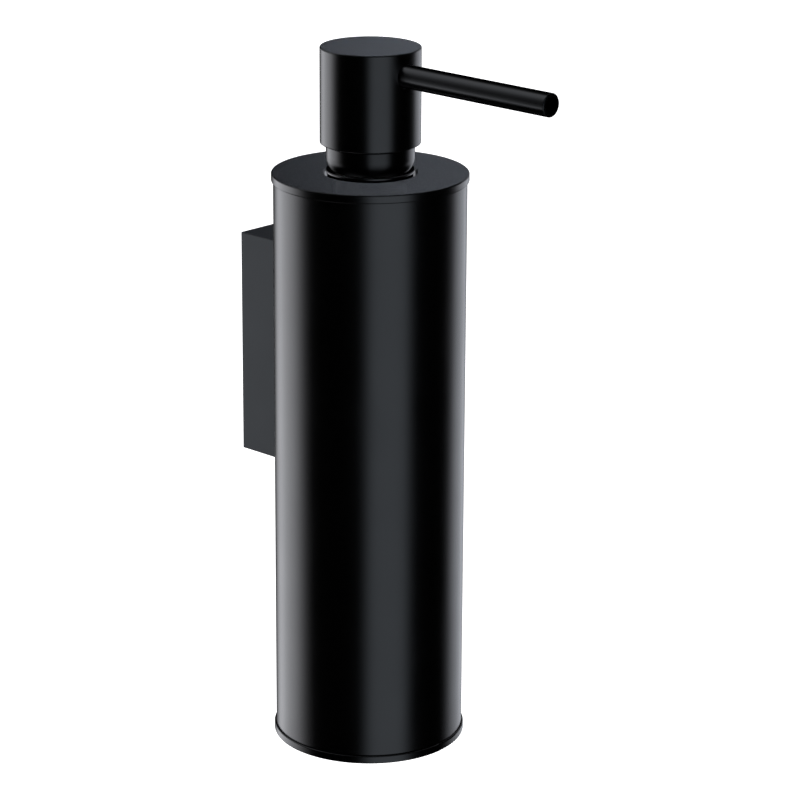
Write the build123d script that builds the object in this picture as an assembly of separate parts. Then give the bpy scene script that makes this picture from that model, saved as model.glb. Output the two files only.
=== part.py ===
from build123d import *
import os
from math import sqrt

# Wall mounted soap dispenser: a slim metal tube with a lotion pump, carried by a block on the wall.
# Millimetres, +Z up. The origin is the middle of the bracket's back, the wall is the plane y = 0,
# and the spout points along -Y. Turned pieces are drawn about the tube's axis, with heights
# measured from the underside of the base, and are moved to their place at the end.

# Tube and end caps
tube_diameter = 54.4
tube_wall = 1.2
tube_length = 162.8
cap_overhang = 0.55
base_flange = 2.3
base_gap = 0.25
base_gap_depth = 0.5
top_flange = 2.36
base_floor = 4.0
base_spigot = 7.0
top_spigot = 8.0
spigot_wall = 1.0
edge_round = 0.35

# Seals on the caps
o_ring_section = 1.4
groove_side_room = 0.1

# Wall bracket
bracket_width = 25.0
bracket_height = 65.2
bracket_drop = 52.45
bracket_side_wall = 2.0
bracket_top_wall = 2.0
bracket_bottom_wall = 5.0
bracket_web = 4.0
bracket_edge_round = 0.3
bracket_back_round = 0.2
plate_thickness = 4.0
plate_room = 0.3
hook_bevel = 1.2
hook_room = 1.5
wall_hole_diameter = 5.0
wall_hole_spacing = 40.0
wall_countersink = 9.2
lock_screw_diameter = 4.0
lock_screw_tip = 2.4
lock_screw_recess = 0.5
lock_screw_hex = 2.0
lock_screw_hex_depth = 2.0

# Screws between the bracket and the tube
screw_diameter = 4.0
screw_head_diameter = 7.6
screw_head_height = 2.2
screw_head_room = 1.8
screw_spacing = 32.0
screw_hex = 2.5
screw_hex_depth = 1.3
screw_hole_room = 0.15
strip_thickness = 2.5
strip_width = 12.0
strip_end = 6.0

# Bottle
bottle_wall = 1.2
bottle_gap = 0.65
bottle_corner = 3.0
shoulder_extra = 1.9
bead_width = 3.0
bead_thickness = 1.5

# Radial build-up of the pump, from the piston's bore outwards to the head
piston_bore = 11.0
barrel_wall = 1.1
neck_room = 1.4
neck_wall = 1.5
thread_room = 0.6
closure_wall = 1.2
collar_wall = 1.1
head_room = 0.5
head_wall = 1.2

# Ring in the top cap
ring_lip = 0.05
ring_proud = 0.94
ring_rim = 0.5
ring_rim_round = 0.3
ring_undercut = 0.45
ring_undercut_height = 0.9
ring_undercut_round = 0.5
ring_flange_width = 2.0
ring_flange_thickness = 1.7
ring_bore_room = 0.85
hole_room = 0.35
hole_chamfer = 0.5

# Collar and closure
collar_gap = 0.1
collar_foot_inset = 1.43
collar_foot_arc = 5.1
collar_ledge = 2.5
collar_rim = 0.5
neck_rise = 6.85
gasket_thickness = 1.0
housing_flange = 1.5
closure_web = 2.5
web_hole_room = 0.4

# Stem, piston and stem guide
stem_diameter = 7.0
stem_bore = 4.0
stem_foot_thickness = 1.5
stem_foot_room = 0.6
stem_port_diameter = 2.0
piston_height = 5.0
piston_lip = 1.0
piston_lip_taper = 0.6
piston_waist = 0.5
piston_stop_gap = 0.2
guide_gap = 0.2
guide_flange = 1.5
guide_flange_width = 2.0
guide_plug = 6.2

# Return spring and ball valve
spring_wire = 0.9
spring_turns = 8
spring_side_room = 0.85
spring_spare = 1.1
spring_end_gap = 0.05
cage_flange = 1.0
cage_side_room = 0.3
cage_hole = 3.2
cage_slot_width = 1.2
cage_slot_reach = 2.9
cage_slots = 3
ball_diameter = 4.8
ball_lift = 1.4
ball_room = 0.25
ball_seat_gap = 0.1
seat_hole = 3.0
chamber_room = 1.0
barrel_step = 1.5
throat_length = 2.0

# Dip tube
dip_diameter = 6.0
dip_wall = 0.9
dip_socket = 10.0
dip_floor_gap = 2.5
dip_cut_angle = 35.0

# Head and spout
press_travel = 7.0
press_room = 0.5
head_clear = 0.45
head_top_wall = 2.0
spout_diameter = 6.6
spout_wall = 0.9
spout_reach = 65.65
spout_floor = 3.8
spout_drop = 6.45
spout_socket = 6.4
spout_round = 0.3
spout_hole_round = 0.25
core_skin = 1.4
core_boss = 6.0
core_rim = 1.5
core_rib = 1.2
core_ribs = 6
stem_end_room = 0.4

# Clearances: pieces that stay together, pieces that slide, pieces that turn
fixed_fit = 0.05
slide_fit = 0.08
turn_fit = 0.05
spigot_fit = 0.1

# Radii worked out from the sizes above
tube_radius = tube_diameter / 2
tube_inner = tube_radius - tube_wall
flange_radius = tube_radius + cap_overhang
seat_radius = tube_radius - base_gap_depth
spigot_radius = tube_inner - spigot_fit
o_ring_radius = tube_inner - fixed_fit - o_ring_section / 2
groove_radius = o_ring_radius - o_ring_section / 2 - fixed_fit
spigot_inner = groove_radius - spigot_wall
strip_outer = tube_inner - fixed_fit
strip_inner = strip_outer - strip_thickness
screw_hole = screw_diameter / 2 + screw_hole_room
bottle_radius = min(strip_inner, spigot_inner) - bottle_gap
bore_radius = piston_bore / 2
barrel_radius = bore_radius + barrel_wall
neck_bore = barrel_radius + neck_room
neck_radius = neck_bore + neck_wall
closure_bore = neck_radius + thread_room
closure_radius = closure_bore + closure_wall
collar_bore = closure_radius + fixed_fit
collar_radius = collar_bore + collar_wall
collar_foot = collar_radius - collar_foot_inset
head_inner = collar_radius + head_room
head_radius = head_inner + head_wall
ring_radius = collar_radius + ring_lip
ring_bore = neck_radius + ring_bore_room
cap_hole = ring_radius + hole_room
bead_radius = neck_radius + bead_width
web_hole = barrel_radius + web_hole_room
stem_radius = stem_diameter / 2
spout_radius = spout_diameter / 2
spout_bore = spout_radius - spout_wall
dip_radius = dip_diameter / 2
ball_radius = ball_diameter / 2
chamber_radius = ball_radius + chamber_room
shank_radius = max(chamber_radius, dip_radius + fixed_fit) + barrel_wall
core_radius = head_inner - fixed_fit

# Heights above the underside of the base
tube_bottom = base_flange + base_gap
cap_under = tube_bottom + tube_length
cap_top = cap_under + top_flange
ring_top = cap_top + ring_proud
ring_under = cap_under - ring_flange_thickness
collar_under = ring_top + collar_gap
closure_under = collar_under + collar_ledge
neck_top = ring_top + neck_rise
gasket_top = neck_top + gasket_thickness
flange_top = gasket_top + housing_flange
web_top = flange_top + closure_web
guide_seat = web_top + guide_gap
guide_top = guide_seat + guide_flange
head_bottom = ring_top + press_travel + head_clear
core_bottom = guide_top + press_travel + press_room
spout_height = core_bottom + spout_floor + spout_radius
head_top = spout_height + spout_drop
core_top = head_top - head_top_wall
stem_top = spout_height - spout_bore - stem_end_room
guide_bottom = guide_seat - guide_plug
piston_top = guide_bottom - piston_stop_gap
piston_bottom = piston_top - piston_height
foot_bottom = piston_bottom - stem_foot_thickness
spring_length = press_travel + (spring_turns + 1) * spring_wire + spring_spare
cage_top = foot_bottom - spring_length
barrel_ledge = cage_top - cage_flange
ball_height = barrel_ledge - ball_lift - ball_room - ball_radius
seat_height = ball_height + seat_hole / 2 - sqrt(2) * (ball_radius + ball_seat_gap)
socket_top = seat_height - throat_length
shank_bottom = socket_top - dip_socket
bottle_floor = base_floor + bottle_wall
bead_under = ring_under - bead_thickness

# Places on the wall
cavity_depth = plate_thickness + screw_head_height + screw_head_room
axis_to_wall = cavity_depth + bracket_web + tube_radius
bracket_rise = cap_under - bracket_drop
cavity_top = bracket_height / 2 - bracket_top_wall
cavity_bottom = -bracket_height / 2 + bracket_bottom_wall
cavity_width = bracket_width - 2 * bracket_side_wall
plate_top = cavity_top - plate_room
plate_bottom = cavity_bottom + hook_room
lock_screw_y = -(hook_bevel + plate_thickness) / 2
on_axis = Pos(0, -axis_to_wall, -bracket_rise)


def turned(outline, *rounds):
    """Turn a closed outline of (radius, height) points about Z.

    Each round names one corner of the outline and its rounding: (radius, height, rounding).
    """
    return turned_face(make_face(Polyline(*outline, close=True)), *rounds)


def turned_face(face, *rounds):
    for radius, height, rounding in rounds:
        corner = [v for v in face.vertices() if abs(v.X - radius) + abs(v.Y - height) < 1e-6]
        face = fillet(corner, rounding)
    return revolve(Plane.XZ * face, Axis.Z)


def ring(inner, outer, low, high):
    return turned([(inner, low), (outer, low), (outer, high), (inner, high)])


def rod_y(radius, start, end, height):
    """Round bar along Y between two distances in front of the wall or axis, at a height."""
    bar = Cylinder(radius, end - start, align=(Align.CENTER, Align.CENTER, Align.MIN))
    return Pos(0, -start, height) * Rot(90, 0, 0) * bar


def hex_socket(across_flats, depth):
    """Hexagonal recess that opens at the origin and goes up Z."""
    return extrude(RegularPolygon(across_flats / 2, 6, major_radius=False), depth)


def screw_heights():
    return [-screw_spacing / 2, screw_spacing / 2]


def make_body_tube():
    tube = ring(tube_inner, tube_radius, tube_bottom, cap_under)
    for height in screw_heights():
        tube -= rod_y(screw_hole, -flange_radius, -strip_inner, bracket_rise + height)
    return on_axis * tube


def groove_points(middle):
    """Corners of an O-ring groove in a spigot, from its lower edge to its upper edge."""
    half = o_ring_section / 2 + groove_side_room
    low = middle - half
    high = middle + half
    return [(spigot_radius, low), (groove_radius, low), (groove_radius, high), (spigot_radius, high)]


def make_o_ring(middle):
    return on_axis * Pos(0, 0, middle) * Torus(o_ring_radius, o_ring_section / 2)


base_groove = tube_bottom + base_spigot / 2
top_groove = cap_under - top_spigot / 2


def make_base_cap():
    """Flanged cap with a seat for the tube that leaves a shadow gap above the flange."""
    spigot_top = tube_bottom + base_spigot
    outline = [(0, 0), (flange_radius, 0), (flange_radius, base_flange), (seat_radius, base_flange)]
    outline += [(seat_radius, tube_bottom), (spigot_radius, tube_bottom)]
    outline += groove_points(base_groove)
    outline += [(spigot_radius, spigot_top), (spigot_inner, spigot_top), (spigot_inner, base_floor)]
    outline += [(0, base_floor)]
    rounds = [(flange_radius, 0, edge_round), (flange_radius, base_flange, edge_round)]
    return on_axis * turned(outline, *rounds)


def make_top_cap():
    spigot_bottom = cap_under - top_spigot
    outline = [(cap_hole, cap_under), (spigot_inner, cap_under), (spigot_inner, spigot_bottom)]
    outline += [(spigot_radius, spigot_bottom)]
    outline += groove_points(top_groove)
    outline += [(spigot_radius, cap_under), (flange_radius, cap_under), (flange_radius, cap_top)]
    outline += [(cap_hole + hole_chamfer, cap_top), (cap_hole, cap_top - hole_chamfer)]
    rounds = [(flange_radius, cap_under, edge_round), (flange_radius, cap_top, edge_round)]
    return on_axis * turned(outline, *rounds)


def make_neck_ring():
    """Ring with a flange under the cap and a round, undercut rim that stands in the cap's hole."""
    flange = ring_radius + ring_flange_width
    waist = ring_radius - ring_undercut
    rim_low = ring_top - ring_rim
    waist_top = rim_low - ring_undercut_height
    outline = [(ring_bore, ring_under), (flange, ring_under), (flange, cap_under), (waist, cap_under)]
    outline += [(waist, waist_top), (ring_radius, rim_low), (ring_radius, ring_top), (ring_bore, ring_top)]
    rounds = [(ring_radius, rim_low, ring_undercut_round), (ring_radius, ring_top, ring_rim_round)]
    return on_axis * turned(outline, *rounds)


def make_inner_bottle():
    """Blown bottle with a domed shoulder, a bead under the neck ring and a plain neck."""
    rise = bottle_radius - bead_radius
    drop = rise + shoulder_extra
    shoulder = bead_under - drop
    dome = (rise**2 + drop**2) / (2 * rise)
    dome_centre = bottle_radius - dome
    inner_dome = dome - bottle_wall
    inner_radius = bottle_radius - bottle_wall
    dome_top = shoulder + inner_dome

    outside = Polyline((bead_radius, bead_under), (bead_radius, ring_under), (neck_radius, ring_under))
    outside += Polyline((neck_radius, ring_under), (neck_radius, neck_top), (0, neck_top), (0, base_floor))
    outside += Polyline((0, base_floor), (bottle_radius, base_floor), (bottle_radius, shoulder))
    outside += TangentArc((bottle_radius, shoulder), (bead_radius, bead_under), tangent=(0, 1))
    outer = turned_face(make_face(outside), (bottle_radius, base_floor, bottle_corner))

    inside = Polyline((dome_centre, dome_top), (neck_bore, dome_top), (neck_bore, neck_top), (0, neck_top))
    inside += Polyline((0, neck_top), (0, bottle_floor), (inner_radius, bottle_floor))
    inside += Line((inner_radius, bottle_floor), (inner_radius, shoulder))
    inside += TangentArc((inner_radius, shoulder), (dome_centre, dome_top), tangent=(0, 1))
    hollow = turned_face(make_face(inside), (inner_radius, bottle_floor, bottle_corner - bottle_wall))
    return on_axis * (outer - hollow)


def make_wall_plate():
    """Plate behind the block, with its upper edge bevelled towards the wall to take the block's hook."""
    profile = [(0, plate_bottom), (0, plate_top - hook_bevel), (-hook_bevel, plate_top)]
    profile += [(-plate_thickness, plate_top), (-plate_thickness, plate_bottom)]
    width = cavity_width - 2 * plate_room
    plate = extrude(Plane.YZ * make_face(Polyline(*profile, close=True)), width / 2, both=True)
    sink_depth = (wall_countersink - wall_hole_diameter) / 2
    sink = Cone(wall_hole_diameter / 2, wall_countersink / 2, sink_depth)
    for height in (-wall_hole_spacing / 2, wall_hole_spacing / 2):
        plate -= rod_y(wall_hole_diameter / 2, -1, plate_thickness + 1, height)
        plate -= Pos(0, -plate_thickness + sink_depth / 2, height) * Rot(90, 0, 0) * sink
    return plate


def make_bracket_block():
    """Block with a saddle for the tube in front and a hooked cavity for the wall plate behind."""
    block = Box(bracket_width, axis_to_wall, bracket_height, align=(Align.CENTER, Align.MAX, Align.CENTER))
    block = fillet(block.edges().filter_by(Axis.Y), bracket_edge_round)
    block = fillet(block.faces().sort_by(Axis.Y)[-1].edges(), bracket_back_round)
    saddle = Cylinder(tube_radius + fixed_fit, 2 * bracket_height)
    block -= Pos(0, -axis_to_wall, 0) * saddle
    profile = [(0, cavity_bottom), (0, cavity_top - hook_bevel), (-hook_bevel, cavity_top)]
    profile += [(-cavity_depth, cavity_top), (-cavity_depth, cavity_bottom)]
    cavity = extrude(Plane.YZ * make_face(Polyline(*profile, close=True)), cavity_width / 2, both=True)
    block -= cavity
    for height in screw_heights():
        block -= rod_y(screw_hole, 0, axis_to_wall, height)
    lock_hole = Cylinder(lock_screw_diameter / 2 + fixed_fit, 2 * bracket_bottom_wall)
    block -= Pos(0, lock_screw_y, cavity_bottom - bracket_bottom_wall) * lock_hole
    return block


def make_lock_screw():
    """Grub screw that stands on the plate's lower edge, with its socket at the block's underside."""
    low = -bracket_height / 2 + lock_screw_recess
    radius = lock_screw_diameter / 2
    tip = lock_screw_tip / 2
    outline = [(0, low), (radius, low), (radius, plate_bottom - radius + tip)]
    outline += [(tip, plate_bottom), (0, plate_bottom)]
    screw = turned(outline)
    screw -= Pos(0, 0, low) * hex_socket(lock_screw_hex, lock_screw_hex_depth)
    return Pos(0, lock_screw_y, 0) * screw


def make_bracket_screws():
    """Button head screws from the cavity through the web and the tube into the nut strip."""
    length = axis_to_wall - strip_inner - cavity_depth
    head = screw_head_diameter / 2
    shank = screw_diameter / 2
    outline = [(0, 0), (head, 0), (head, screw_head_height / 2)]
    outline += [(head / 2, screw_head_height), (0, screw_head_height)]
    screw = turned(outline) + Cylinder(shank, length, align=(Align.CENTER, Align.CENTER, Align.MAX))
    screw -= Pos(0, 0, screw_head_height - screw_hex_depth) * hex_socket(screw_hex, screw_hex_depth)
    return [Pos(0, -cavity_depth, height) * Rot(-90, 0, 0) * screw for height in screw_heights()]


def make_nut_strip():
    """Curved strip that lies against the inside of the tube behind the block."""
    length = screw_spacing + 2 * strip_end
    strip = ring(strip_inner, strip_outer, bracket_rise - length / 2, bracket_rise + length / 2)
    strip &= Pos(0, tube_radius / 2, bracket_rise) * Box(strip_width, tube_radius, length)
    for height in screw_heights():
        strip -= rod_y(screw_diameter / 2 + fixed_fit, -tube_radius, 0, bracket_rise + height)
    return on_axis * strip


def make_pump_collar():
    """Sleeve that rests on the neck ring, with a foot that curves in and a ledge under the closure."""
    foot_rise = sqrt(2 * collar_foot_arc * collar_foot_inset - collar_foot_inset**2)
    arc_top = collar_under + foot_rise
    collar_top = web_top + collar_rim
    outside = Polyline((ring_bore, collar_under), (collar_foot, collar_under))
    outside += TangentArc((collar_radius, arc_top), (collar_foot, collar_under), tangent=(0, -1))
    outside += Polyline((collar_radius, arc_top), (collar_radius, collar_top), (collar_bore, collar_top))
    outside += Polyline((collar_bore, collar_top), (collar_bore, closure_under), (ring_bore, closure_under))
    outside += Line((ring_bore, closure_under), (ring_bore, collar_under))
    return on_axis * turned_face(make_face(outside))


def make_pump_closure():
    outline = [(closure_bore, closure_under), (closure_radius, closure_under), (closure_radius, web_top)]
    outline += [(web_hole, web_top), (web_hole, flange_top), (closure_bore, flange_top)]
    return on_axis * turned(outline)


def make_neck_gasket():
    return on_axis * ring(web_hole, neck_radius, neck_top, gasket_top)


def make_pump_housing():
    """Pump cylinder: flange on the neck, barrel, ball chamber with its seat, and dip tube socket."""
    step = barrel_ledge - barrel_step
    seat_top = seat_height + chamber_radius - seat_hole / 2
    socket = dip_radius + fixed_fit
    outline = [(bore_radius, guide_seat), (barrel_radius, guide_seat), (barrel_radius, flange_top)]
    outline += [(neck_radius, flange_top), (neck_radius, gasket_top), (barrel_radius, gasket_top)]
    outline += [(barrel_radius, step), (shank_radius, step - barrel_radius + shank_radius)]
    outline += [(shank_radius, shank_bottom), (socket, shank_bottom), (socket, socket_top)]
    outline += [(seat_hole / 2, socket_top), (seat_hole / 2, seat_height), (chamber_radius, seat_top)]
    outline += [(chamber_radius, barrel_ledge), (bore_radius, barrel_ledge)]
    return on_axis * turned(outline)


def make_stem_guide():
    guide_bore = stem_radius + turn_fit
    plug = bore_radius - fixed_fit
    flange = web_hole + guide_flange_width
    outline = [(guide_bore, guide_bottom), (plug, guide_bottom), (plug, guide_seat), (flange, guide_seat)]
    outline += [(flange, guide_top), (guide_bore, guide_top)]
    return on_axis * turned(outline, (flange, guide_top, edge_round))


def make_ball_cage():
    """Ring under the spring, with slots so that soap passes when the ball is up against it."""
    cage = ring(cage_hole / 2, bore_radius - cage_side_room, barrel_ledge, cage_top)
    slot = Box(cage_slot_reach, cage_slot_width, 4 * cage_flange)
    slot = Pos(cage_slot_reach / 2, 0, barrel_ledge) * slot
    for turn in range(cage_slots):
        cage -= Rot(0, 0, turn * 360 / cage_slots) * slot
    return on_axis * cage


def make_dip_tube():
    """Plain tube with its lower end cut at a slant."""
    low = bottle_floor + dip_floor_gap
    tube = ring(dip_radius - dip_wall, dip_radius, low, socket_top)
    size = 4 * dip_diameter
    cutter = Box(size, size, size, align=(Align.MIN, Align.CENTER, Align.MAX))
    tube -= Pos(-dip_radius, 0, low) * Rot(0, -dip_cut_angle, 0) * cutter
    return on_axis * tube


def make_return_spring():
    low = cage_top + spring_end_gap + spring_wire / 2
    height = spring_length - 2 * spring_end_gap - spring_wire
    radius = bore_radius - spring_side_room - spring_wire / 2
    path = Helix(height / spring_turns, height, radius)
    section = Plane(origin=path @ 0, z_dir=path % 0) * Circle(spring_wire / 2)
    return on_axis * Pos(0, 0, low) * sweep(section, path, is_frenet=True)


def make_piston_stem():
    """Hollow stem, closed at its foot, with a cross port inside the piston."""
    foot = bore_radius - stem_foot_room
    outline = [(0, foot_bottom), (foot, foot_bottom), (foot, piston_bottom), (stem_radius, piston_bottom)]
    outline += [(stem_radius, stem_top), (stem_bore / 2, stem_top), (stem_bore / 2, piston_bottom)]
    outline += [(0, piston_bottom)]
    port_height = piston_bottom + piston_height / 2
    port = rod_y(stem_port_diameter / 2, -stem_diameter, stem_diameter, port_height)
    return on_axis * (turned(outline) - port)


def make_piston():
    lip = bore_radius - slide_fit
    waist = lip - piston_waist
    bore = stem_radius + fixed_fit
    low_taper = piston_bottom + piston_lip
    high_taper = piston_top - piston_lip
    outline = [(bore, piston_bottom), (lip, piston_bottom), (lip, low_taper)]
    outline += [(waist, low_taper + piston_lip_taper), (waist, high_taper - piston_lip_taper)]
    outline += [(lip, high_taper), (lip, piston_top), (bore, piston_top)]
    return on_axis * turned(outline)


def make_inlet_ball():
    return on_axis * Pos(0, 0, ball_height) * Sphere(ball_radius)


def make_head_shell():
    outline = [(head_inner, head_bottom), (head_radius, head_bottom), (head_radius, head_top)]
    outline += [(0, head_top), (0, core_top), (head_inner, core_top)]
    rounds = [(head_radius, head_bottom, edge_round), (head_radius, head_top, edge_round)]
    shell = turned(outline, *rounds)
    shell -= rod_y(spout_radius + fixed_fit, 0, 2 * head_radius, spout_height)
    rims = shell.edges().filter_by(lambda e: e.geom_type not in (GeomType.CIRCLE, GeomType.LINE))
    shell = fillet(rims.sort_by(Axis.Y)[0], spout_hole_round)
    return on_axis * shell


def make_actuator_core():
    """Moulded core: stem socket below, spout socket in front, and a ribbed underside."""
    stem_socket = stem_radius + turn_fit
    outline = [(stem_socket, core_bottom), (core_radius, core_bottom), (core_radius, core_top)]
    outline += [(0, core_top), (0, spout_height), (stem_bore / 2, spout_height)]
    outline += [(stem_bore / 2, stem_top), (stem_socket, stem_top)]
    core = turned(outline)
    pocket = ring(core_boss, core_radius - core_rim, core_bottom, core_bottom + spout_floor - core_skin)
    for turn in range(core_ribs):
        rib = Pos(head_radius / 2, 0, core_bottom) * Box(head_radius, core_rib, 4 * spout_floor)
        pocket -= Rot(0, 0, turn * 360 / core_ribs) * rib
    core -= pocket
    core -= rod_y(spout_bore, 0, head_radius, spout_height)
    core -= rod_y(spout_radius + fixed_fit, spout_socket, head_radius, spout_height)
    return on_axis * core


def make_spout_tube():
    spout = rod_y(spout_radius, spout_socket, spout_reach, spout_height)
    tip = spout.faces().sort_by(Axis.Y)[0]
    spout = fillet(tip.edges(), spout_round)
    spout -= rod_y(spout_bore, 0, 2 * spout_reach, spout_height)
    return on_axis * spout


pieces = {
    "wall_plate": make_wall_plate(),
    "bracket_block": make_bracket_block(),
    "lock_screw": make_lock_screw(),
    "bracket_screws": Compound(children=make_bracket_screws()),
    "nut_strip": make_nut_strip(),
    "body_tube": make_body_tube(),
    "base_cap": make_base_cap(),
    "base_o_ring": make_o_ring(base_groove),
    "top_cap": make_top_cap(),
    "cap_o_ring": make_o_ring(top_groove),
    "neck_ring": make_neck_ring(),
    "inner_bottle": make_inner_bottle(),
    "pump_collar": make_pump_collar(),
    "pump_closure": make_pump_closure(),
    "neck_gasket": make_neck_gasket(),
    "pump_housing": make_pump_housing(),
    "stem_guide": make_stem_guide(),
    "ball_cage": make_ball_cage(),
    "dip_tube": make_dip_tube(),
    "return_spring": make_return_spring(),
    "piston_stem": make_piston_stem(),
    "piston": make_piston(),
    "inlet_ball": make_inlet_ball(),
    "head_shell": make_head_shell(),
    "actuator_core": make_actuator_core(),
    "spout_tube": make_spout_tube(),
}

os.makedirs("parts", exist_ok=True)
for name, piece in pieces.items():
    export_step(piece, f"parts/{name}.step")
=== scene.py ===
import math
from collections import namedtuple

import bmesh
import bpy
from mathutils import Matrix, Vector


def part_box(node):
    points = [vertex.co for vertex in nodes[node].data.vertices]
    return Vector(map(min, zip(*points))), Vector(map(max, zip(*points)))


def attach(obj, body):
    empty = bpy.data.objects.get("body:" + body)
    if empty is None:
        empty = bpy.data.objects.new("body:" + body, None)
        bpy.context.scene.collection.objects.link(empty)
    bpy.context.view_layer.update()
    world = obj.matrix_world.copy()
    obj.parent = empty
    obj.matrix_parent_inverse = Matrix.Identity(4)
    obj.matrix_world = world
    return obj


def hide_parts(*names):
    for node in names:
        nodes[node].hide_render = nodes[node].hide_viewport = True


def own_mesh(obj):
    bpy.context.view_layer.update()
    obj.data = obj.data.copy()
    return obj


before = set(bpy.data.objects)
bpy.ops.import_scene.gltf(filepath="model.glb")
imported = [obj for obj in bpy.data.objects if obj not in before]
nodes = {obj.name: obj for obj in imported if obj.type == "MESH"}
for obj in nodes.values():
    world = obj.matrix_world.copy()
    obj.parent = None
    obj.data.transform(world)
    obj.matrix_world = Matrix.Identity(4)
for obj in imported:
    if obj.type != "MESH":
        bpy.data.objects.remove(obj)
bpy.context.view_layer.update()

# Looks of the wall mounted soap dispenser. Metres, +Z up, the wall is the plane y = 0. Angles are in
# degrees. Azimuth 0 is in front of the spout at rest, and 90 is +X.

scene = bpy.context.scene

# Places read from the solids. The gasket is as wide as the bottle's neck.
tube_low, tube_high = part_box("body_tube")
base_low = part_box("base_cap")[0]
neck_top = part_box("inner_bottle")[1].z
closure_low, closure_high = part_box("pump_closure")
ring_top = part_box("neck_ring")[1].z
collar_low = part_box("pump_collar")[0].z
head_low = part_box("head_shell")[0].z
gasket_low, gasket_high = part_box("neck_gasket")
spring_low, spring_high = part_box("return_spring")
axis_y = (tube_low.y + tube_high.y) / 2
neck_radius = (gasket_high.x - gasket_low.x) / 2
closure_radius = (closure_high.x - closure_low.x) / 2

# Camera, found by matching the outlines in the photograph: its distance is from the tube's axis, its
# height is above the underside of the base
CAMERA_AZIMUTH = -46.39
CAMERA_DISTANCE = 0.86326
CAMERA_HEIGHT = 0.37871
CAMERA_PITCH = 17.844
CAMERA_YAW = 0.5734
CAMERA_ROLL = 0.3237
CAMERA_LENS = 142.97
SENSOR_WIDTH = 36.0

# Soft light panels. The softness of the sides is a share of the half width, and the flare is how much the
# half width grows for each radian below FLARE_ELEVATION. low is the elevation of the lower end.
Panel = namedtuple("Panel", "azimuth half_width softness flare low low_softness strength tint")
PANELS = (
    Panel(azimuth=-166, half_width=25.2, softness=0.57, flare=0.8, low=-28.5, low_softness=5,
          strength=2.80, tint=(0.94, 0.95, 1.0, 1.0)),
    Panel(azimuth=-24, half_width=24.5, softness=0.37, flare=0.0, low=-43, low_softness=25,
          strength=1.19, tint=(0.82, 0.90, 1.0, 1.0)),
    Panel(azimuth=94.5, half_width=19.6, softness=0.49, flare=1.5, low=-25.5, low_softness=3.5,
          strength=1.42, tint=(0.89, 0.92, 1.0, 1.0)),
)
FLARE_ELEVATION = -12.0

# All panels are weaker above the horizon, and each has a weak bounce from the floor below it
UPPER_ELEVATION = -1.0
UPPER_SOFTNESS = 7.0
UPPER_SHARE = 0.35
BOUNCE_ELEVATION = -58.0
BOUNCE_SOFTNESS = 8.0
BOUNCE_SHARE = 0.13

# Share of even white in the light on matt surfaces
FILL = 0.55

# Gridded softboxes behind the part, one for each upward face: their azimuth and distance from the tube's
# axis, their height, size and spread, then for each face the power and how far the box is turned aside
BACK_AZIMUTH = 133.6
BACK_DISTANCE = 0.45
BACK_HEIGHT = 0.175
BACK_SIZE = (0.24, 0.26)
BACK_SPREAD = 30.0
BACK_TINT = (0.79, 0.86, 1.0)
BACK_LIGHTS = {
    "head_shell": (0.0054, -10.3),
    "top_cap": (0.0042, -11.0),
    "bracket_block": (0.0041, -10.3),
}

# The floor lies far below the base, since the part hangs on a wall
FLOOR_DEPTH = 1.3
FLOOR_SIZE = 40.0

# The gloss shows the studio, and of the pieces only those that darken what lies next to them: the core at
# the spout's root, the spout in its own bore, and the base in its gap under the tube
MIRRORED = ("actuator_core", "spout_tube", "base_cap")

# Places that would mirror black metal lose gloss instead, as painted shade. FULL_GLOSS is the shader's
# usual level.
FULL_GLOSS = 0.5

# Ring: depths below its top where the gloss is gone, and where it is full; the dull undercut is painted
# shade
UNDERCUT_SHADE_DEPTHS = (0.0006, 0.0005)

# Collar, painted shade: share of gloss at the foot, where it stands for the black cap it would mirror,
# heights above the underside where it starts to rise and is full, then depths below the head where it
# starts to fall and is gone, a painted shadow under the head's rim
FOOT_GLOSS = 0.15
FOOT_HEIGHTS = (0.0020, 0.0040)
HEAD_SHADOW_DEPTHS = (0.00078, 0.00048)

# Spout: upward part of the normal where the gloss is gone, and where it is full; the dull underside is
# painted shade for the black metal it would mirror
UNDERSIDE_SHADE = (-0.78, -0.58)

# Most of a noise lies between these values
NOISE_RANGE = (0.3, 0.7)

# Screw thread between the bottle's neck and the pump's closure: steps are for one turn, the fade is a share
# of the length at each end, and the end is the depth of the upper end below the top of the neck
THREAD_PITCH = 0.003
THREAD_WIDTH = 0.0012
THREAD_HEIGHT = 0.00042
THREAD_TURNS = 1.25
THREAD_ROOT = 0.00005
THREAD_STEPS = 60
THREAD_FADE = 0.12
THREAD_END = 0.0014
RIDGE_ANGLES = range(-90, 91, 15)
CLOSURE_WALL = 0.0012

# Return spring, with one closed turn at each end; steps are for one turn
SPRING_WIRE = 0.0009
SPRING_ACTIVE_TURNS = 6
SPRING_CLOSED_TURNS = 2
SPRING_STEPS = 40
WIRE_SIDES = 16


def bearing(azimuth):
    """Level direction at an azimuth."""
    angle = math.radians(azimuth)
    return Vector((math.sin(angle), -math.cos(angle), 0))


def link(tree, output, socket):
    tree.links.new(output, socket)


def add(tree, kind, **settings):
    node = tree.nodes.new(kind)
    for name, value in settings.items():
        setattr(node, name, value)
    return node


def maths(tree, operation, *values):
    """Math node on one to three inputs, each a socket or a number."""
    node = add(tree, "ShaderNodeMath", operation=operation)
    for socket, value in zip(node.inputs, values):
        if isinstance(value, bpy.types.NodeSocket):
            link(tree, value, socket)
        else:
            socket.default_value = value
    return node.outputs[0]


def ramp(tree, value, start, end, low, high, curve="LINEAR"):
    """Map a value from start..end to low..high."""
    node = add(tree, "ShaderNodeMapRange", interpolation_type=curve)
    link(tree, value, node.inputs["Value"])
    node.inputs["From Min"].default_value = start
    node.inputs["From Max"].default_value = end
    node.inputs["To Min"].default_value = low
    node.inputs["To Max"].default_value = high
    return node.outputs["Result"]


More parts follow.
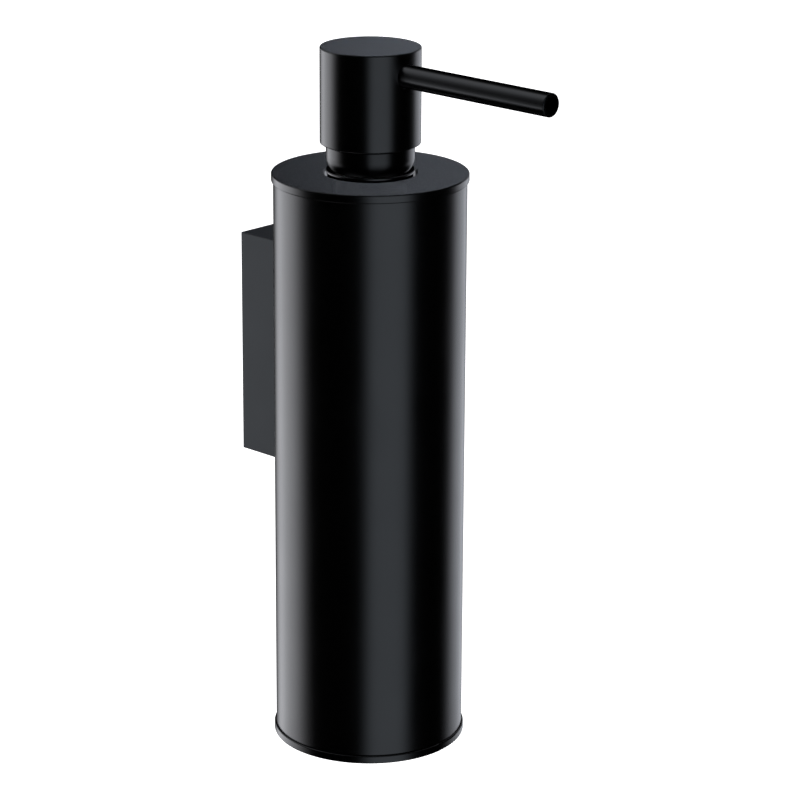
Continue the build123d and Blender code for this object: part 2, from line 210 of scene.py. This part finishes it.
def noise(tree, vector, scale, detail=2.0, roughness=0.5):
    node = add(tree, "ShaderNodeTexNoise")
    link(tree, vector, node.inputs["Vector"])
    node.inputs["Scale"].default_value = scale
    node.inputs["Detail"].default_value = detail
    node.inputs["Roughness"].default_value = roughness
    return node.outputs["Fac"]


def stretched(tree, vector, scales):
    """Coordinates scaled differently along each axis, for brushed or drawn marks."""
    node = add(tree, "ShaderNodeMapping")
    link(tree, vector, node.inputs["Vector"])
    node.inputs["Scale"].default_value = scales
    return node.outputs["Vector"]


def colours(tree, value, dark, light):
    node = add(tree, "ShaderNodeValToRGB")
    link(tree, value, node.inputs["Fac"])
    node.color_ramp.elements[0].color = (*dark, 1.0)
    node.color_ramp.elements[1].color = (*light, 1.0)
    return node.outputs["Color"]


def bump(tree, height, strength, distance=0.00002):
    node = add(tree, "ShaderNodeBump")
    link(tree, height, node.inputs["Height"])
    node.inputs["Strength"].default_value = strength
    node.inputs["Distance"].default_value = distance
    return node.outputs["Normal"]


def upward(tree, output):
    """Z of the object's coordinates or of its normal."""
    split = add(tree, "ShaderNodeSeparateXYZ")
    link(tree, add(tree, "ShaderNodeTexCoord").outputs[output], split.inputs["Vector"])
    return split.outputs["Z"]


def new_material(name):
    """Empty principled material, with its tree, its shader and object coordinates."""
    material = bpy.data.materials.new(name)
    material.use_nodes = True
    tree = material.node_tree
    shader = tree.nodes["Principled BSDF"]
    place = add(tree, "ShaderNodeTexCoord").outputs["Object"]
    return material, tree, shader, place


def finish_surface(tree, shader, colour, roughness, normal):
    link(tree, colour, shader.inputs["Base Color"])
    link(tree, roughness, shader.inputs["Roughness"])
    link(tree, normal, shader.inputs["Normal"])


def black_coat(name, roughness, ior=1.5, tint=(1.0, 1.0, 1.0)):
    """Smooth black coat: faint orange peel, and gloss that varies a little from place to place."""
    material, tree, shader, place = new_material(name)
    specks = noise(tree, place, scale=1400.0)
    broad = noise(tree, place, scale=45.0, detail=3.0)
    peel = noise(tree, place, scale=700.0)
    colour = colours(tree, specks, dark=(0.0004, 0.0004, 0.0005), light=(0.0008, 0.0008, 0.0010))
    gloss = ramp(tree, broad, *NOISE_RANGE, roughness - 0.02, roughness + 0.02)
    finish_surface(tree, shader, colour, gloss, bump(tree, peel, strength=0.15))
    shader.inputs["IOR"].default_value = ior
    shader.inputs["Specular Tint"].default_value = (*tint, 1.0)
    return material


def set_gloss(material, level):
    tree = material.node_tree
    link(tree, level, tree.nodes["Principled BSDF"].inputs["Specular IOR Level"])


def ring_coat():
    """Black coat on the ring's rim, and painted shade in the undercut below it: no gloss there."""
    material = black_coat("coat_ring", roughness=0.25)
    tree = material.node_tree
    # Painted shade in the undercut: the gloss fades out below the rim
    gone, full = (ring_top - depth for depth in UNDERCUT_SHADE_DEPTHS)
    set_gloss(material, ramp(tree, upward(tree, "Object"), gone, full, 0.0, FULL_GLOSS))
    return material


def collar_coat():
    """Black coat with painted shade: less gloss in the foot, for the black cap it would mirror, and a
    painted shadow under the head's rim, with no gloss from just below the rim upwards.
    """
    material = black_coat("coat_collar", roughness=0.25, ior=1.41)
    tree = material.node_tree
    height = upward(tree, "Object")
    # Painted shade in the foot, where it would mirror the black cap
    start, full = (collar_low + rise for rise in FOOT_HEIGHTS)
    foot = ramp(tree, height, start, full, FOOT_GLOSS * FULL_GLOSS, FULL_GLOSS)
    # Painted shadow of the head: the gloss fades to nothing just below the head's lower edge
    lit, gone = (head_low - depth for depth in HEAD_SHADOW_DEPTHS)
    head_shadow = ramp(tree, height, lit, gone, 1.0, 0.0)
    set_gloss(material, maths(tree, "MULTIPLY", foot, head_shadow))
    return material


def spout_coat():
    """Bluish black coat, and painted shade on the underside: no gloss there, standing for the black head
    and cap it would mirror.
    """
    material = black_coat("coat_spout", roughness=0.24, tint=(0.93, 0.97, 1.0))
    tree = material.node_tree
    # Painted shade on the underside, in place of a dark reflection
    set_gloss(material, ramp(tree, upward(tree, "Normal"), *UNDERSIDE_SHADE, 0.0, FULL_GLOSS))
    return material


def steel(name, scales, dark, light, roughness):
    """Bare steel with drawn or brushed marks, finer along the axes that have the larger scales."""
    material, tree, shader, place = new_material(name)
    marks = noise(tree, stretched(tree, place, scales), scale=1.0, detail=6.0, roughness=0.65)
    cloud = noise(tree, place, scale=120.0, detail=3.0)
    tone = maths(tree, "MULTIPLY", maths(tree, "ADD", marks, cloud), 0.5)
    gloss = ramp(tree, marks, *NOISE_RANGE, *roughness)
    normal = bump(tree, marks, strength=0.25, distance=0.00003)
    finish_surface(tree, shader, colours(tree, tone, dark, light), gloss, normal)
    shader.inputs["Metallic"].default_value = 1.0
    return material


def moulded(name, dark, light, roughness, depth):
    """Moulded or blown plastic: soft cloudy colour, light that sinks in, and a fine even grain."""
    material, tree, shader, place = new_material(name)
    cloud = noise(tree, place, scale=90.0, detail=4.0)
    grain = noise(tree, place, scale=2600.0)
    gloss = ramp(tree, cloud, *NOISE_RANGE, roughness - 0.05, roughness + 0.05)
    finish_surface(tree, shader, colours(tree, cloud, dark, light), gloss, bump(tree, grain, strength=0.2))
    shader.inputs["Subsurface Weight"].default_value = 0.35
    shader.inputs["Subsurface Radius"].default_value = (1.0, 0.9, 0.8)
    shader.inputs["Subsurface Scale"].default_value = depth
    shader.inputs["IOR"].default_value = 1.5
    return material


def clear_tube():
    """Extruded clear plastic with faint draw lines along its length."""
    material, tree, shader, place = new_material("clear_tube")
    lines = noise(tree, stretched(tree, place, (1800.0, 1800.0, 25.0)), scale=1.0, detail=3.0)
    colour = colours(tree, lines, dark=(0.84, 0.87, 0.87), light=(0.95, 0.96, 0.96))
    gloss = ramp(tree, lines, *NOISE_RANGE, 0.12, 0.24)
    finish_surface(tree, shader, colour, gloss, bump(tree, lines, strength=0.2))
    shader.inputs["Transmission Weight"].default_value = 0.8
    shader.inputs["IOR"].default_value = 1.49
    return material


def black_rubber():
    """Matt moulded rubber with a fine grain."""
    material, tree, shader, place = new_material("black_rubber")
    cloud = noise(tree, place, scale=260.0, detail=3.0)
    grain = noise(tree, place, scale=5200.0)
    colour = colours(tree, cloud, dark=(0.010, 0.010, 0.011), light=(0.022, 0.022, 0.023))
    gloss = ramp(tree, cloud, *NOISE_RANGE, 0.62, 0.78)
    finish_surface(tree, shader, colour, gloss, bump(tree, grain, strength=0.4))
    return material


def level_at(tree, elevation, middle, softness, low, high):
    """Soft step from one level to another at an elevation in degrees."""
    start = math.radians(middle - softness)
    end = math.radians(middle + softness)
    return ramp(tree, elevation, start, end, low, high, "SMOOTHSTEP")


def world_panel(tree, direction, panel):
    """Brightness of one soft panel in a direction."""
    turn = add(tree, "ShaderNodeVectorRotate", rotation_type="Z_AXIS")
    link(tree, direction, turn.inputs["Vector"])
    turn.inputs["Angle"].default_value = -math.radians(panel.azimuth)
    split = add(tree, "ShaderNodeSeparateXYZ")
    link(tree, turn.outputs["Vector"], split.inputs["Vector"])
    ahead = maths(tree, "MULTIPLY", split.outputs["Y"], -1.0)
    side = maths(tree, "ABSOLUTE", maths(tree, "ARCTAN2", split.outputs["X"], ahead))
    elevation = maths(tree, "ARCSINE", split.outputs["Z"])
    below = maths(tree, "SUBTRACT", math.radians(FLARE_ELEVATION), elevation)
    drop = maths(tree, "MAXIMUM", below, 0.0)
    wide = math.radians(panel.half_width)
    half = maths(tree, "MULTIPLY_ADD", drop, wide * panel.flare, wide)
    share = maths(tree, "DIVIDE", side, half)
    inside, outside = 1 - panel.softness, 1 + panel.softness
    across = ramp(tree, share, inside, outside, panel.strength, 0.0, "SMOOTHSTEP")
    lower = level_at(tree, elevation, panel.low, panel.low_softness, 0.0, 1.0)
    upper = level_at(tree, elevation, UPPER_ELEVATION, UPPER_SOFTNESS, 1.0, UPPER_SHARE)
    bounce = level_at(tree, elevation, BOUNCE_ELEVATION, BOUNCE_SOFTNESS, BOUNCE_SHARE, 0.0)
    level = maths(tree, "MAXIMUM", maths(tree, "MULTIPLY", lower, upper), bounce)
    return maths(tree, "MULTIPLY", across, level)


def make_world():
    """Dark studio with soft panels, plain white behind the object, and even light on matt surfaces."""
    world = bpy.data.worlds.new("studio")
    scene.world = world
    world.use_nodes = True
    tree = world.node_tree
    tree.nodes.clear()
    direction = add(tree, "ShaderNodeTexCoord").outputs["Generated"]
    studio = None
    for panel in PANELS:
        light = add(tree, "ShaderNodeBackground")
        light.inputs["Color"].default_value = panel.tint
        link(tree, world_panel(tree, direction, panel), light.inputs["Strength"])
        if studio is None:
            studio = light.outputs["Background"]
        else:
            both = add(tree, "ShaderNodeAddShader")
            link(tree, studio, both.inputs[0])
            link(tree, light.outputs["Background"], both.inputs[1])
            studio = both.outputs["Shader"]
    white = add(tree, "ShaderNodeBackground")
    white.inputs["Color"].default_value = (1.0, 1.0, 1.0, 1.0)
    path = add(tree, "ShaderNodeLightPath")
    even = maths(tree, "MULTIPLY", path.outputs["Is Diffuse Ray"], FILL)
    mix = add(tree, "ShaderNodeMixShader")
    link(tree, maths(tree, "MAXIMUM", path.outputs["Is Camera Ray"], even), mix.inputs["Fac"])
    link(tree, studio, mix.inputs[1])
    link(tree, white.outputs["Background"], mix.inputs[2])
    output = add(tree, "ShaderNodeOutputWorld")
    link(tree, mix.outputs["Shader"], output.inputs["Surface"])


def make_back_light(node, power, aside):
    """Light on one node alone. It casts no shadow, so the head doesn't darken the cap in front of it."""
    data = bpy.data.lights.new("back_" + node, "AREA")
    data.shape = "RECTANGLE"
    data.size, data.size_y = BACK_SIZE
    data.energy = power
    data.color = BACK_TINT
    data.spread = math.radians(BACK_SPREAD)
    data.use_shadow = False
    data.cycles.use_multiple_importance_sampling = False
    light = bpy.data.objects.new("back_" + node, data)
    scene.collection.objects.link(light)
    light.location = Vector((0, axis_y, BACK_HEIGHT)) + bearing(BACK_AZIMUTH) * BACK_DISTANCE
    target = Vector((0, axis_y, ring_top)) - light.location
    facing = Matrix.Rotation(math.radians(aside), 3, "Z") @ target
    light.rotation_mode = "QUATERNION"
    light.rotation_quaternion = facing.to_track_quat("-Z", "Y")
    light.visible_camera = False
    lit = bpy.data.collections.new("lit_" + node)
    lit.objects.link(nodes[node])
    light.light_linking.receiver_collection = lit


def make_floor():
    """Pale floor that doesn't show in the gloss."""
    half = FLOOR_SIZE / 2
    corners = [(-half, -half, 0), (half, -half, 0), (half, half, 0), (-half, half, 0)]
    mesh = bpy.data.meshes.new("floor")
    mesh.from_pydata(corners, [], [(0, 1, 2, 3)])
    floor = bpy.data.objects.new("floor", mesh)
    floor.location.z = base_low.z - FLOOR_DEPTH
    scene.collection.objects.link(floor)
    material, _, shader, _ = new_material("pale_floor")
    shader.inputs["Base Color"].default_value = (0.9, 0.9, 0.9, 1.0)
    shader.inputs["Roughness"].default_value = 0.8
    shader.inputs["Emission Color"].default_value = (1.0, 1.0, 1.0, 1.0)
    shader.inputs["Emission Strength"].default_value = 1.0
    mesh.materials.append(material)
    floor.visible_glossy = False
    floor.visible_diffuse = False


def make_camera():
    data = bpy.data.cameras.new("camera")
    data.lens = CAMERA_LENS
    data.sensor_width = SENSOR_WIDTH
    camera = bpy.data.objects.new("camera", data)
    scene.collection.objects.link(camera)
    place = bearing(CAMERA_AZIMUTH) * CAMERA_DISTANCE
    place += Vector((0, axis_y, base_low.z + CAMERA_HEIGHT))
    turn = Matrix.Rotation(math.radians(CAMERA_AZIMUTH - CAMERA_YAW), 4, "Z")
    turn @= Matrix.Rotation(math.radians(90 - CAMERA_PITCH), 4, "X")
    turn @= Matrix.Rotation(math.radians(CAMERA_ROLL), 4, "Z")
    camera.matrix_world = Matrix.Translation(place) @ turn
    scene.camera = camera


def skin(name, sections, material, body):
    """Smooth closed strip through a list of sections, each with the same number of points."""
    work = bmesh.new()
    rows = [[work.verts.new(point) for point in section] for section in sections]
    for row, following in zip(rows, rows[1:]):
        for index, corner in enumerate(row):
            after = (index + 1) % len(row)
            work.faces.new((corner, row[after], following[after], following[index]))
    work.faces.new(rows[0])
    work.faces.new(rows[-1])
    bmesh.ops.recalc_face_normals(work, faces=work.faces)
    for face in work.faces:
        face.smooth = len(face.verts) == 4
    mesh = bpy.data.meshes.new(name)
    work.to_mesh(mesh)
    work.free()
    mesh.materials.append(material)
    piece = bpy.data.objects.new(name, mesh)
    scene.collection.objects.link(piece)
    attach(piece, body)
    return piece


def on_axis(radius, angle, height):
    """Point around the tube's axis."""
    return Vector((radius * math.cos(angle), axis_y + radius * math.sin(angle), height))


def thread_sections(radius, side, low):
    """Rounded ridge wound on a wall of this radius, outwards or inwards, that fades at both ends."""
    count = round(THREAD_TURNS * THREAD_STEPS)
    sections = []
    for step in range(count + 1):
        share = step / count
        rise = THREAD_HEIGHT * min(1.0, share / THREAD_FADE, (1 - share) / THREAD_FADE)
        turn = step / THREAD_STEPS
        section = []
        for angle in RIDGE_ANGLES:
            swing = math.radians(angle)
            out = side * (rise * math.cos(swing) - THREAD_ROOT)
            height = low + THREAD_PITCH * turn + THREAD_WIDTH / 2 * math.sin(swing)
            section.append(on_axis(radius + out, 2 * math.pi * turn, height))
        sections.append(section)
    return sections


def spring_sections():
    """Round wire wound with a closed coil at each end and even coils between."""
    turns = SPRING_ACTIVE_TURNS + SPRING_CLOSED_TURNS
    low = spring_low.z + SPRING_WIRE / 2
    free = spring_high.z - spring_low.z - (SPRING_CLOSED_TURNS + 1) * SPRING_WIRE
    radius = (spring_high.x - spring_low.x - SPRING_WIRE) / 2
    sections = []
    for step in range(turns * SPRING_STEPS + 1):
        turn = step / SPRING_STEPS
        open_turns = min(max(turn - 1, 0), SPRING_ACTIVE_TURNS)
        closed_turns = turn - open_turns
        height = low + closed_turns * SPRING_WIRE + open_turns / SPRING_ACTIVE_TURNS * free
        section = []
        for part in range(WIRE_SIDES):
            swing = 2 * math.pi * part / WIRE_SIDES
            out = radius + SPRING_WIRE / 2 * math.cos(swing)
            section.append(on_axis(out, 2 * math.pi * turn, height + SPRING_WIRE / 2 * math.sin(swing)))
        sections.append(section)
    return sections


def dress(material, *names):
    """Give CAD nodes a material."""
    for name in names:
        nodes[name].material_slots[0].material = material


make_world()
for lit_node, (light_power, light_aside) in BACK_LIGHTS.items():
    make_back_light(lit_node, light_power, light_aside)
make_floor()
make_camera()
scene.view_settings.view_transform = "Standard"

for node_name, node_object in nodes.items():
    node_object.visible_glossy = node_name in MIRRORED

# Black outside
dress(black_coat("coat_turned", roughness=0.25), "body_tube", "base_cap", "top_cap")
dress(black_coat("coat_head", roughness=0.25, ior=1.475), "head_shell")
dress(ring_coat(), "neck_ring")
dress(spout_coat(), "spout_tube")
dress(collar_coat(), "pump_collar")
dress(black_coat("coat_bracket", roughness=0.41, ior=1.59, tint=(0.86, 0.94, 1.0)), "bracket_block")

# Metal behind and inside
dress(steel("brushed_steel", scales=(1500.0, 1500.0, 30.0), dark=(0.42, 0.42, 0.43),
            light=(0.66, 0.66, 0.66), roughness=(0.26, 0.42)), "wall_plate", "nut_strip")
dress(steel("turned_steel", scales=(400.0, 60.0, 400.0), dark=(0.45, 0.45, 0.46),
            light=(0.66, 0.66, 0.66), roughness=(0.22, 0.36)), "bracket_screws")
dress(steel("polished_steel", scales=(200.0, 200.0, 200.0), dark=(0.56, 0.56, 0.57),
            light=(0.68, 0.68, 0.68), roughness=(0.08, 0.16)), "inlet_ball")
dress(steel("blackened_steel", scales=(500.0, 500.0, 90.0), dark=(0.02, 0.02, 0.022),
            light=(0.055, 0.054, 0.054), roughness=(0.4, 0.6)), "lock_screw")

# Plastic and rubber inside
white_plastic = moulded("white_plastic", dark=(0.74, 0.74, 0.72), light=(0.84, 0.84, 0.82),
                        roughness=0.38, depth=0.0006)
milky_plastic = moulded("milky_plastic", dark=(0.70, 0.71, 0.69), light=(0.82, 0.82, 0.80),
                        roughness=0.42, depth=0.0015)
soft_plastic = moulded("soft_plastic", dark=(0.60, 0.62, 0.62), light=(0.74, 0.76, 0.76),
                       roughness=0.34, depth=0.0012)
dress(white_plastic, "pump_closure", "pump_housing", "stem_guide", "ball_cage", "piston_stem",
      "actuator_core")
dress(milky_plastic, "inner_bottle")
dress(soft_plastic, "piston")
dress(clear_tube(), "dip_tube")
dress(black_rubber(), "base_o_ring", "cap_o_ring", "neck_gasket")

# Threads that the solids leave out: the closure's ridge lies between the turns of the neck's
thread_low = neck_top - THREAD_END - THREAD_TURNS * THREAD_PITCH
neck_ridge = thread_sections(neck_radius, 1, thread_low)
closure_ridge = thread_sections(closure_radius - CLOSURE_WALL, -1, thread_low + THREAD_PITCH / 2)
skin("neck_thread", neck_ridge, milky_plastic, "dispenser")
skin("closure_thread", closure_ridge, white_plastic, "pump_unit")

# Return spring wound as a coil, in place of the solid's spring
spring_wire = steel("spring_wire", scales=(900.0, 900.0, 900.0), dark=(0.46, 0.46, 0.47),
                    light=(0.64, 0.64, 0.64), roughness=(0.16, 0.30))
spring = skin("spring_coil", spring_sections(), spring_wire, "pump_unit")
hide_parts("return_spring")
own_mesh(spring)
